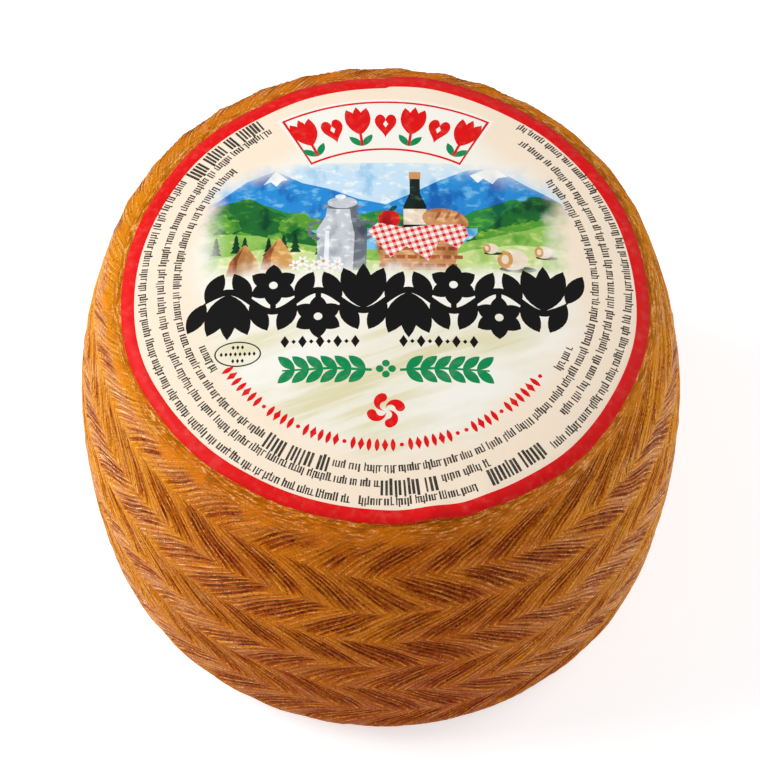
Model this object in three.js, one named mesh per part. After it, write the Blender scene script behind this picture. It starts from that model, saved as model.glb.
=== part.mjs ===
import * as THREE from "three";

// A whole small wheel of pressed sheep's milk cheese, with a round paper label laid on its crown.
// Lengths are millimetres and +Z is up. The origin is the middle of the flat foot.
// The label reads upright for someone who stands on the -Y side, and turns are counted
// from there: a turn of 0 looks at -Y, and a quarter turn at +X.

// The wheel
const WIDEST_RADIUS = 55;
const WHEEL_HEIGHT = 77;
const WIDEST_LEVEL = 32;
const DRAWN_IN_ABOVE = 6.3; // loss of radius, half the height above the widest level
const DRAWN_IN_BELOW = 3.5; // loss of radius, half the height below the widest level
const FOOT_ROUNDING = 9.3;
const CROWN_WIDTH = 46; // how far in from the side the crown's curve starts
const CROWN_DROP = 5.5; // how far the crown falls from its middle to the shoulder
const LOBES = [
  { count: 2, share: 0.003, turn: 0.6 },
  { count: 3, share: 0.002, turn: 2.1 },
];

// The marks of the plaited mould, which are leaf-shaped hollows in level bands
const PLAIT_TOP_LEVEL = 70.5;
const BAND_COUNT = 8;
const BAND_WIDTH = 9.1; // measured down the side
const BAND_TILT = 3.2; // the plait sinks by this on the +X side and climbs on the other
const HOLLOWS_ROUND = 32;
const HOLLOW_DEPTH = 0.5;
const HOLLOW_LEAN = 1.05; // how many hollows a stroke passes on its way across a band
const HOLLOW_BOW = 0.25; // how much flatter a stroke lies at its top end

// The label
const LABEL_RADIUS = 45.7;
const LABEL_THICKNESS = 0.25;
const LABEL_GAP = 0.2;
const LABEL_SHIFT = { x: 0.9, y: -1.8 };
const LABEL_EDGE_WAVES = [
  { count: 3, size: 0.36, turn: 0.96 },
  { count: 7, size: 0.1, turn: 0.4 },
  { count: 12, size: 0.08, turn: 1.9 },
];
const LABEL_LIFT = { height: 0.8, turn: 0.27, spread: 0.12, starts: 38 };

// Steps of the faceted surfaces
const COLUMNS_PER_HOLLOW = 4;
const ROWS_PER_BAND = 3;
const OUTLINE_STEPS = 400;
const CROWN_RADII = [9, 20, 30, 38, 44];
const SHOULDER_SHARES = [0.35, 0.7];
const LABEL_TURNS = 84;
const LABEL_RADIUS_SHARES = [0.3, 0.55, 0.74, 0.87, 0.95, 1];

const COLUMNS = HOLLOWS_ROUND * COLUMNS_PER_HOLLOW;
const FULL_TURN = 2 * Math.PI;

// Radius of the wheel's outline at a level above the foot.
function outlineRadius(level) {
  const above = level - WIDEST_LEVEL;
  const drawnIn = above > 0 ? DRAWN_IN_ABOVE : DRAWN_IN_BELOW;
  const barrel = WIDEST_RADIUS - drawnIn * (above / (WHEEL_HEIGHT / 2)) ** 2;
  const intoFoot = Math.max(0, (FOOT_ROUNDING - level) / FOOT_ROUNDING);
  const intoCrown = Math.max(0, (level - WHEEL_HEIGHT + CROWN_DROP) / CROWN_DROP);
  const footLoss = FOOT_ROUNDING * (1 - Math.sqrt(1 - Math.min(1, intoFoot) ** 2));
  const crownLoss = CROWN_WIDTH * (1 - Math.sqrt(1 - Math.min(1, intoCrown) ** 2));
  return barrel - footLoss - crownLoss;
}

// Level of the crown at a radius, found by halving the span between shoulder and top.
function crownLevel(radius) {
  let low = WHEEL_HEIGHT - CROWN_DROP;
  let high = WHEEL_HEIGHT;
  while (high - low > 1e-6) {
    const middle = (low + high) / 2;
    if (outlineRadius(middle) > radius) {
      low = middle;
    } else {
      high = middle;
    }
  }
  return low;
}

// Lengths measured down the outline from the crown's last ring to the edge of the foot,
// counted from the top of the plait.
function measureOutline() {
  const points = [];
  const highest = crownLevel(Math.max(...CROWN_RADII));
  let length = 0;
  for (let step = 0; step <= OUTLINE_STEPS; step += 1) {
    const fall = step / OUTLINE_STEPS;
    const level = highest * (1 - fall) ** 2;
    const radius = outlineRadius(level);
    const last = points[points.length - 1];
    length += last ? Math.hypot(radius - last.radius, level - last.level) : 0;
    points.push({ length, radius, level });
  }
  const start = points.find((point) => point.level <= PLAIT_TOP_LEVEL).length;
  return points.map((point) => ({ ...point, length: point.length - start }));
}

const OUTLINE = measureOutline();

// Radius, level and outward direction of the outline at a length below the plait's top.
function outlineAt(length) {
  let index = OUTLINE.findIndex((point) => point.length >= length);
  index = Math.max(1, index < 0 ? OUTLINE.length - 1 : index);
  const before = OUTLINE[index - 1];
  const after = OUTLINE[index];
  const span = after.length - before.length;
  const share = THREE.MathUtils.clamp((length - before.length) / span, 0, 1);
  return {
    radius: THREE.MathUtils.lerp(before.radius, after.radius, share),
    level: THREE.MathUtils.lerp(before.level, after.level, share),
    outward: (before.level - after.level) / span,
    upward: (after.radius - before.radius) / span,
  };
}

// The wheel isn't quite round: a few broad lobes change its radius.
function roundness(turn) {
  return LOBES.reduce((sum, lobe) => sum + lobe.share * Math.cos(lobe.count * (turn - lobe.turn)), 1);
}

function placeAround(turn, radius, level) {
  const reach = radius * roundness(turn);
  return new THREE.Vector3(reach * Math.sin(turn), -reach * Math.cos(turn), level);
}

// A repeatable number from 0 to 1 for each hollow of the plait.
function unevenness(band, hollow) {
  const mixed = Math.sin(band * 127.1 + hollow * 311.7) * 43758.5453;
  return mixed - Math.floor(mixed);
}

// Depth of the plait's mark at one vertex: the strokes of a band share their columns,
// and those of the next band start half a hollow further round.
function hollowDepth(band, share, column) {
  const offset = band % 2 === 0 ? COLUMNS_PER_HOLLOW / 2 : 0;
  const across = ((column + offset) % COLUMNS_PER_HOLLOW) / COLUMNS_PER_HOLLOW;
  const hollow = Math.floor((column + offset) / COLUMNS_PER_HOLLOW) % HOLLOWS_ROUND;
  const leaf = Math.sin(Math.PI * share) * Math.sin(Math.PI * across);
  return HOLLOW_DEPTH * leaf * (0.6 + 0.4 * unevenness(band, hollow));
}

// One ring of points of the plait. Even bands lean one way as they fall, odd ones the other.
function plaitRing(row) {
  const band = Math.min(BAND_COUNT - 1, Math.floor(row / ROWS_PER_BAND));
  const share = row / ROWS_PER_BAND - band;
  const lean = band % 2 === 0 ? share : 1 - share;
  const passed = -HOLLOW_LEAN * (lean + HOLLOW_BOW * share * (1 - share) * (band % 2 === 0 ? 1 : -1));
  const ring = [];
  for (let column = 0; column < COLUMNS; column += 1) {
    const turn = (FULL_TURN * (column / COLUMNS_PER_HOLLOW + passed)) / HOLLOWS_ROUND;
    const spot = outlineAt((band + share) * BAND_WIDTH + BAND_TILT * Math.sin(turn));
    const depth = hollowDepth(band, share, column);
    ring.push(placeAround(turn, spot.radius - depth * spot.outward, spot.level - depth * spot.upward));
  }
  return ring;
}

// A smooth ring of the shoulder, part of the way from the crown down to the plait.
function shoulderRing(share) {
  const ring = [];
  for (let column = 0; column < COLUMNS; column += 1) {
    const turn = (FULL_TURN * column) / COLUMNS;
    const length = THREE.MathUtils.lerp(OUTLINE[0].length, BAND_TILT * Math.sin(turn), share);
    const spot = outlineAt(length);
    ring.push(placeAround(turn, spot.radius, spot.level));
  }
  return ring;
}

function levelRing(radius, level) {
  const ring = [];
  for (let column = 0; column < COLUMNS; column += 1) {
    ring.push(placeAround((FULL_TURN * column) / COLUMNS, radius, level));
  }
  return ring;
}

// Closed surface through rings of points listed from the top down, with a point at each end.
function closedSurface(top, rings, bottom) {
  const size = rings[0].length;
  const positions = [top, ...rings.flat(), bottom].flatMap((point) => point.toArray());
  const last = rings.length * size + 1;
  const faces = [];
  for (let column = 0; column < size; column += 1) {
    const next = (column + 1) % size;
    faces.push(0, 1 + column, 1 + next);
    for (let ring = 0; ring + 1 < rings.length; ring += 1) {
      const upper = 1 + ring * size;
      const lower = upper + size;
      faces.push(upper + column, lower + column, lower + next);
      faces.push(upper + column, lower + next, upper + next);
    }
    const foot = last - size;
    faces.push(foot + column, last, foot + next);
  }
  const geometry = new THREE.BufferGeometry();
  geometry.setAttribute("position", new THREE.Float32BufferAttribute(positions, 3));
  geometry.setIndex(faces);
  geometry.computeVertexNormals();
  return geometry;
}

function wheelGeometry() {
  const crown = CROWN_RADII.map((radius) => levelRing(radius, crownLevel(radius)));
  const shoulder = SHOULDER_SHARES.map(shoulderRing);
  const plait = [];
  for (let row = 0; row <= BAND_COUNT * ROWS_PER_BAND; row += 1) {
    plait.push(plaitRing(row));
  }
  const foot = levelRing(outlineRadius(0), 0);
  const top = new THREE.Vector3(0, 0, WHEEL_HEIGHT);
  return closedSurface(top, [...crown, ...shoulder, ...plait, foot], new THREE.Vector3(0, 0, 0));
}

// Height of the paper's underside over a point of the wheel's crown.
function paperLevel(x, y, fromMiddle) {
  const turn = Math.atan2(x, -y);
  const lie = crownLevel(Math.hypot(x, y) / roundness(turn)) + LABEL_GAP;
  const edge = Math.max(0, (fromMiddle - LABEL_LIFT.starts) / (LABEL_RADIUS - LABEL_LIFT.starts));
  const side = Math.exp(-(((turn - LABEL_LIFT.turn) / LABEL_LIFT.spread) ** 2));
  return lie + LABEL_LIFT.height * edge ** 2 * side;
}

function labelRing(share, raise) {
  const ring = [];
  for (let step = 0; step < LABEL_TURNS; step += 1) {
    const turn = (FULL_TURN * step) / LABEL_TURNS;
    const waves = LABEL_EDGE_WAVES.map((wave) => wave.size * Math.cos(wave.count * (turn - wave.turn)));
    const radius = LABEL_RADIUS * share + waves.reduce((sum, wave) => sum + wave, 0) * share ** 4;
    const x = LABEL_SHIFT.x + radius * Math.sin(turn);
    const y = LABEL_SHIFT.y - radius * Math.cos(turn);
    ring.push(new THREE.Vector3(x, y, paperLevel(x, y, radius) + raise));
  }
  return ring;
}

function labelGeometry() {
  const upper = LABEL_RADIUS_SHARES.map((share) => labelRing(share, LABEL_THICKNESS));
  const lower = [...LABEL_RADIUS_SHARES].reverse().map((share) => labelRing(share, 0));
  const { x, y } = LABEL_SHIFT;
  const under = new THREE.Vector3(x, y, paperLevel(x, y, 0));
  const top = under.clone().setZ(under.z + LABEL_THICKNESS);
  return closedSurface(top, [...upper, ...lower], under);
}

function waxedRind() {
  return new THREE.MeshStandardMaterial({ color: 0xb5701f, roughness: 0.5, metalness: 0 });
}

function coatedPaper() {
  return new THREE.MeshStandardMaterial({ color: 0xf2e6d2, roughness: 0.55, metalness: 0 });
}

function named(name, geometry, material) {
  const mesh = new THREE.Mesh(geometry, material);
  mesh.name = name;
  return mesh;
}

const cheese = new THREE.Group();
cheese.add(named("cheese_wheel", wheelGeometry(), waxedRind()));
cheese.add(named("label", labelGeometry(), coatedPaper()));

export default cheese;
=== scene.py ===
"""A small wheel of sheep's milk cheese with a plaited rind and a round paper label."""

import math

import bpy
import numpy as np
from bpy.props import FloatProperty, FloatVectorProperty, IntProperty, PointerProperty
from bpy.types import Operator, Panel, PropertyGroup
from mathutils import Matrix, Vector, noise
from mathutils.geometry import delaunay_2d_cdt


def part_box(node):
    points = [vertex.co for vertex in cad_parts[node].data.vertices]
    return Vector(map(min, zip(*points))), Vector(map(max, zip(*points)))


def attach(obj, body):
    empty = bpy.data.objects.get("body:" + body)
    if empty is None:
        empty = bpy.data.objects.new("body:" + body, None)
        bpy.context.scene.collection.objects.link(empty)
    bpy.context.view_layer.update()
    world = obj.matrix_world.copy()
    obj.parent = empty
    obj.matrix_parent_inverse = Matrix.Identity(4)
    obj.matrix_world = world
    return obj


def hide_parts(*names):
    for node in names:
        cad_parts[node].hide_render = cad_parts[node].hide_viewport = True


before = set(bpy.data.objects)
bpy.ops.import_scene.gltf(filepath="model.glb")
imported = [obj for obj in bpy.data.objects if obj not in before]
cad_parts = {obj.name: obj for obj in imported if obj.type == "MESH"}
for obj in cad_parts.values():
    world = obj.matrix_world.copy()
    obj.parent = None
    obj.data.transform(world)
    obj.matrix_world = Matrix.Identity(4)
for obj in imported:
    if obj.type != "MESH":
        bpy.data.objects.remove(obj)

bl_info = {
    "name": "Cheese Wheel",
    "version": (1, 0, 0),
    "blender": (4, 5, 0),
    "location": "3D View > Sidebar > Cheese",
    "description": "Makes a labelled wheel of sheep's milk cheese inside its frame",
    "category": "Object",
}

MM = 0.001
FULL_TURN = 2 * math.pi
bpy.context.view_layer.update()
WHEEL_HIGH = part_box("cheese_wheel")[1]

# Steps of the meshes
OUTLINE_STEPS = 300
COLUMNS_PER_FIBRE = 4
ROWS_PER_BAND = 9
TOP_BAND_ROWS = 6
SHOULDER_ROWS = 9
FOOT_ROWS = 4
CROWN_RADII_MM = (6, 14, 22, 29, 35)
LABEL_GRID_MM = 1.7
GRID_ROW_SHARE = 0.866
LABEL_EDGE_POINTS = 360
PRINT_STEP_MM = 1.5

# Lobes that keep the wheel from being quite round: how many, share of the radius, start
LOBES = ((2, 0.003, 0.6), (3, 0.002, 2.1))

# Uneven places of the rind: how much, size of the lumps, seed, stretch down the side
TURN_DRIFT = (0.03, 17 * MM, 1)
FALL_DRIFTS = ((1.6 * MM, 21 * MM, 2), (0.45 * MM, 6 * MM, 8))
STROKE_DRIFT = (0.32, 6.5 * MM, 3)
STAIN_PATCHES = (0.9, 12 * MM, 4)
SIDE_LUMPS = ((0.22 * MM, 13 * MM, 5), (0.07 * MM, 2.2 * MM, 6))
SHOULDER_CREASES = (0.07 * MM, 5 * MM, 7, 5.0)

# Marks of the plait, as shares of a hollow or of a band
EVEN_BAND_SHIFT = 4 / 7
LEAF_FULLNESS = 0.3
LEAF_EDGE = 0.55
STAIN_EDGE = 0.65
RIDGE_SHARPNESS = 1.6
RIDGE_END = 0.12
STROKE_TIP = 0.24

# Waves of the label: size (of the edge in mm), how many round, and where they start
EDGE_WAVES = ((0.36, 3, 0.96), (0.1, 7, 0.4), (0.08, 12, 1.9))
PAPER_RIPPLES = ((0.09 * MM, 9, 1.1), (0.09 * MM, 14, 4.0), (0.054 * MM, 23, 2.2))

# Bulges of the label's edge: size in mm, width and place round it, and where the edge is lifted
EDGE_BULGES = ((0.4, 0.5, 3.1), (0.4, 0.16, 0.05), (0.25, 0.1, 0.32), (0.3, 0.14, 0.74),
               (-0.35, 0.35, -0.65))
LIFTED_PLACES = (0.17, 0.38)
LIFTED_WIDTH = 0.08

# Landscape of the print: heights of its crest lines in mm, evenly spaced from left to right
PICTURE_SIDES = (-34, 34)
FAR_CREST = (15, 17.5, 21.5, 23.6, 20.8, 19.4, 17.2, 16, 18.6, 21.5, 23.8, 24.2, 21, 18.2, 15)
NEAR_CREST = (9, 14.6, 16.6, 14.4, 12.8, 13.6, 14.8, 13, 12.4, 15.4, 17.6, 16, 11)
MEADOW_CREST = (9.5, 10.2, 9.6, 8.0, 7.0, 6.4, 6.2, 6.6, 7.4, 8.8, 10.4, 12.2, 13.0)
PALE_MEADOW_CREST = (4.0, 5.2, 6.6, 6.9, 5.6, 4.2, 3.9, 4.4, 5.4, 6.8, 7.7, 7.4, 6.2)

# Fine rows of the print: radius in mm, start and end in degrees, and whether they are tall
FINE_ROWS = (
    (42.0, -122, -8, False), (42.0, -6, 22, False), (42.0, 42, 146, False),
    (38.9, -148, -2, False), (38.9, 14, 26, False), (38.9, 50, 142, False),
    (36.2, -132, -34, False), (36.2, -14, 128, False), (33.8, -68, -59, False), (33.8, 60, 68, False),
    (39.6, -1, 13, True), (41.2, 25, 40, True), (36.7, -33, -15, True), (41.2, -147, -124, True),
)
WORD_MARKS = (3, 10)
JOINED_SHARE = 0.55
RED_ARC_RADIUS = 32.0

# Places on the rind for its colour and its painted light and shade: where each starts and is full, in
# metres
FLANK = (8 * MM, 60 * MM)
BACK = (0, 40 * MM)
# Painted shade darkens the rind towards the foot
SHADED_FOOT = (42 * MM, 2 * MM)
TURNED_ASIDE = (8 * MM, 46 * MM)
CREASED = (45.6 * MM, 43.6 * MM)

# Grain of the strokes: detail, then how often it changes for each fibre and each band
STREAK = (3.0, (1.5, 1.5, 1))
STRAND = (3.0, (1.1, 0.9, 1))
THREAD = (3.0, (3.4, 5.5, 1))
HAIR = (2.0, (4.2, 5.5, 1))
THIN = (2.0, (5.5, 1.4, 1))

# Print of the label: turn of the brushed wash, and turn and width of the checks
BRUSHED_TURN = 0.35
CHECK_TURN = 0.3
CHECK_WIDTH = 1.25 * MM

# Soft lights: place, side of the square, power in watts
LIGHTS = {
    "key": ((-0.6, 0.05, 0.48), 0.45, 5.3),
    "fill": ((0.6, 0.25, 0.4), 0.45, 1.7),
    "top": ((0.3, -0.3, 0.8), 0.5, 1.1),
}
LIGHT_TARGET = (0, 0, 0.04)
SENSOR_WIDTH_MM = 36
WHITE = (1, 1, 1, 1)


def screen(*values):
    """A colour as it looks on a screen, from 0 to 255, turned into linear light."""
    return tuple(((c / 255 + 0.055) / 1.055) ** 2.4 if c > 10 else c / 255 / 12.92 for c in values)


def length(name, description, default, **more):
    """A property that holds a length in metres."""
    return FloatProperty(name=name, description=description, default=default,
                         unit="LENGTH", precision=5, **more)


def colour(name, description, *values):
    """A property that holds a colour, given as it looks on a screen."""
    return FloatVectorProperty(name=name, description=description, default=screen(*values),
                               subtype="COLOR", size=3, min=0, max=1)


class WheelForm(PropertyGroup):
    """Outline of the wheel."""

    height: length("Height", "From the foot to the middle of the crown", WHEEL_HIGH.z)
    widest_radius: length("Widest radius", "Radius of the side where it bulges most", 55 * MM)
    widest_level: length("Widest level", "Height of the widest place", 32 * MM)
    drawn_in_above: length("Drawn in above", "Loss of radius half a height up", 6.3 * MM)
    drawn_in_below: length("Drawn in below", "Loss of radius half a height down", 3.5 * MM)
    foot_rounding: length("Foot rounding", "Radius of the lower edge", 9.3 * MM)
    crown_width: length("Crown width", "How far in the crown's curve reaches", 46 * MM)
    crown_drop: length("Crown drop", "Fall of the crown out to the shoulder", 5.5 * MM)


class PlaitForm(PropertyGroup):
    """Marks that the plaited mould leaves in the side."""

    top_level: length("Top level", "Height where the plait starts", 70.5 * MM)
    band_width: length("Band width", "Width of one band of strokes", 9.1 * MM)
    band_tilt: length("Band tilt", "How far the bands sink on the +X side", 3.2 * MM)
    band_count: IntProperty(name="Bands", description="Bands of strokes", default=8, min=1)
    hollows_round: IntProperty(name="Hollows", description="Hollows in a band", default=32, min=8)
    fibres: IntProperty(name="Fibres", description="Fibre marks across a hollow", default=7, min=2)
    lean: FloatProperty(name="Lean", description="Hollows that a stroke passes", default=1.05)
    bow: FloatProperty(name="Bow", description="Flattening of a stroke's top end", default=0.25)
    hollow_depth: length("Hollow depth", "Depth of a hollow's middle", 0.5 * MM)
    fibre_height: length("Fibre height", "Height of the fibre ridges", 0.27 * MM)


class RindColours(PropertyGroup):
    """Colours of the rind, and of the light and shade painted on it."""

    amber: colour("Amber", "Open rind between the marks", 202, 112, 7)
    tan: colour("Tan", "Duller open rind", 182, 89, 7)
    gold: colour("Gold", "Smooth shoulder under the label", 212, 114, 3)
    # Painted light: the flanks are painted lighter and more golden
    flank_light: colour("Honey", "Lighter rind on the flanks", 234, 155, 18)
    # Also the colour of the painted shade towards the foot
    stain: colour("Stain", "Stain in the hollows", 148, 48, 2)
    # Darkest lines in the fibre grooves: partly stain, partly painted shade
    groove_stain_and_shade: colour("Deep stain", "Stain at the bottom of the grooves", 92, 29, 2)
    # Painted highlight on the fibre ridges, also used for its pale glints
    ridge_highlight: colour("Ridge", "Fibre ridges", 240, 160, 44)
    # Pale colour of the painted glints, painted sheen and painted crease highlights
    pale_highlight: colour("Salt", "Pale flecks", 250, 212, 160)
    # Real dark specks; also the colour of the painted shade in the creases
    speck: colour("Speck", "Dark specks", 84, 30, 5)
    # Painted reflection: a pinkish sheen laid on the bands whose strokes turn aside
    side_reflection: colour("Bloom", "Thin pinkish bloom", 206, 134, 88)


class LabelForm(PropertyGroup):
    """Sizes of the paper label."""

    radius: length("Radius", "Radius of the paper", 45.7 * MM)
    shift_x: length("Shift X", "Middle of the label from the axis", 0.9 * MM)
    shift_y: length("Shift Y", "Middle of the label from the axis", -1.8 * MM)
    thickness: length("Thickness", "Thickness of the paper", 0.12 * MM)
    gap: length("Gap", "Height of the paper over the rind", 0.14 * MM)
    rim: length("Rim", "Width of the printed rim", 2.2 * MM)
    lift: length("Lift", "Height of the lifted edge", 1.0 * MM)


class LabelColours(PropertyGroup):
    """Inks and paper of the label."""

    cream: colour("Cream", "Outer field", 244, 226, 204)
    white: colour("White", "Inner field", 242, 239, 230)
    wash: colour("Wash", "Brushed wash of the inner field", 220, 212, 172)
    red: colour("Red", "Rim and ornaments", 220, 14, 16)
    black: colour("Black", "Frieze", 18, 17, 17)
    grey: colour("Grey", "Fine rows", 58, 54, 48)
    green: colour("Green", "Leaves", 10, 134, 78)


class StageForm(PropertyGroup):
    """Camera, floor and lights."""

    elevation: FloatProperty(name="Elevation", description="Angle of the camera above the level",
                             default=math.radians(58.51), subtype="ANGLE")
    distance: length("Distance", "From the camera to what it aims at", 0.55)
    aim_x: length("Aim X", "Aim to the right of the axis", -0.1 * MM)
    aim_rise: length("Aim rise", "Aim above the wheel's middle, in the picture", 1.44 * MM)
    lens: FloatProperty(name="Lens", description="Focal length in mm on a 36 mm frame",
                        default=141.95)
    floor_size: length("Floor size", "Side of the floor", 6.0)
    floor_colour: colour("Floor colour", "Colour of the floor", 204, 206, 208)
    floor_clouds: colour("Floor clouds", "Colour of the floor's faint clouds", 203, 204, 206)
    floor_glow: FloatProperty(name="Floor glow", description="Own light of the floor", default=0.62)
    room_light: FloatProperty(name="Room light", description="Light from all round", default=0.3)


# Outline and label surface

def barrel(form, level):
    """Radius of the bulging side at a level, without its rounded edges."""
    above = level - form.widest_level
    drawn_in = np.where(above > 0, form.drawn_in_above, form.drawn_in_below)
    return form.widest_radius - drawn_in * (above / (form.height / 2)) ** 2


class Outline:
    """The wheel's outline, followed from the middle of the crown down to the middle of the foot."""

    def __init__(self, form, start_level):
        angle = np.linspace(math.pi / 2, 0, OUTLINE_STEPS)
        crown = form.height - form.crown_drop * (1 - np.sin(angle))
        crown_radius = barrel(form, crown) - form.crown_width * (1 - np.cos(angle))
        side = np.linspace(crown[-1], form.foot_rounding, OUTLINE_STEPS)[1:]
        foot = form.foot_rounding * (1 - np.sin(angle[::-1]))[1:]
        foot_radius = barrel(form, foot) - form.foot_rounding * (1 - np.cos(angle[::-1]))[1:]
        self.level = np.concatenate([[form.height], crown, side, foot, [0]])
        self.radius = np.concatenate([[0], crown_radius, barrel(form, side), foot_radius, [0]])
        steps = np.hypot(np.diff(self.radius), np.diff(self.level))
        travelled = np.concatenate([[0], np.cumsum(steps)])
        start = np.interp(-start_level, -self.level, travelled)
        self.fall = travelled - start
        self.crown_end = np.argmin(np.abs(self.level - crown[-1]))
        outward = -np.gradient(self.level, travelled)
        upward = np.gradient(self.radius, travelled)
        size = np.hypot(outward, upward)
        self.outward = outward / size
        self.upward = upward / size
        self.foot_fall = self.fall[-2]

    def at(self, fall):
        """Radius, level and outward direction at lengths below the plait's top."""
        return [np.interp(fall, self.fall, values)
                for values in (self.radius, self.level, self.outward, self.upward)]

    def fall_of_radius(self, radius):
        """Length at which the crown reaches a radius."""
        return np.interp(radius, self.radius[:self.crown_end], self.fall[:self.crown_end])

    def crown_level(self, radius):
        """Level of the crown at a radius."""
        return np.interp(radius, self.radius[:self.crown_end], self.level[:self.crown_end])


def roundness(turn):
    """The wheel isn't quite round: broad lobes change its radius by a small share."""
    return 1 + sum(share * np.cos(count * (turn - start)) for count, share, start in LOBES)


def whole_hash(first, second):
    """Repeatable numbers from 0 to 1 for pairs of whole numbers."""
    mixed = np.sin(first * 127.1 + second * 311.7) * 43758.5453
    return mixed - np.floor(mixed)


def lumps(points, size, seed):
    """Smooth noise from -1 to 1 at points, with lumps of about the given size."""
    shift = Vector((seed * 7.3, seed * 3.1, seed * 5.7))
    return np.array([noise.noise(Vector(point) / size + shift) for point in points])


def ease(value):
    """A step from 0 to 1 with soft ends."""
    value = np.clip(value, 0, 1)
    return value * value * (3 - 2 * value)


def risen(value, start, end):
    """A soft step from 0 at the start to 1 at the end."""
    return ease((value - start) / (end - start))


def bell(value, middle, width):
    """A hump of height 1 about its middle."""
    return np.exp(-((value - middle) / width) ** 2)


def half_turns(turn):
    """The same turn, counted from minus half a turn to half a turn."""
    return (turn + math.pi) % FULL_TURN - math.pi


# Rind

def plait_rows(plait, columns):
    """Rows of the plaited side: (turn, fall, band, share) with one turn and fall a column.
    The top band's strokes start a little above its place."""
    per_hollow = columns / plait.hollows_round
    column = np.arange(columns)
    rows = []
    for row in range(-TOP_BAND_ROWS, plait.band_count * ROWS_PER_BAND + 1):
        band = min(max(row, 0) // ROWS_PER_BAND, plait.band_count - 1)
        share = row / ROWS_PER_BAND - band
        side = 1 if band % 2 == 0 else -1
        lean = share if side == 1 else 1 - share
        passed = -plait.lean * (lean + side * plait.bow * share * (1 - share))
        turn = FULL_TURN * (column / per_hollow + passed) / plait.hollows_round
        fall = (band + share) * plait.band_width + plait.band_tilt * np.sin(turn)
        if band == 0:
            share = (row + TOP_BAND_ROWS) / (ROWS_PER_BAND + TOP_BAND_ROWS)
        rows.append((turn, fall, band, share))
    return rows


def smooth_rows(plait, outline, columns):
    """Rows of the crown and shoulder, and rows of the foot, in the same form."""
    turn = FULL_TURN * np.arange(columns) / columns
    crown = [outline.fall_of_radius(radius * MM) for radius in CROWN_RADII_MM]
    upper = [(turn, np.full(columns, fall), -1, 0.0) for fall in crown]
    tilt = plait.band_tilt * np.sin(turn)
    start = tilt - plait.band_width * TOP_BAND_ROWS / ROWS_PER_BAND
    for row in range(1, SHOULDER_ROWS):
        share = row / SHOULDER_ROWS
        upper.append((turn, crown[-1] * (1 - share) + start * share, -1, 0.0))
    last = plait.band_count * plait.band_width + tilt
    lower = []
    for row in range(1, FOOT_ROWS + 1):
        share = row / FOOT_ROWS
        lower.append((turn, last * (1 - share) + outline.foot_fall * share, -1, 0.0))
    return upper, lower


def around(turn, reach, level):
    """Points at turns about the axis, counted from -Y towards +X."""
    return np.stack([reach * np.sin(turn), -reach * np.cos(turn), level], axis=-1)


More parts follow.
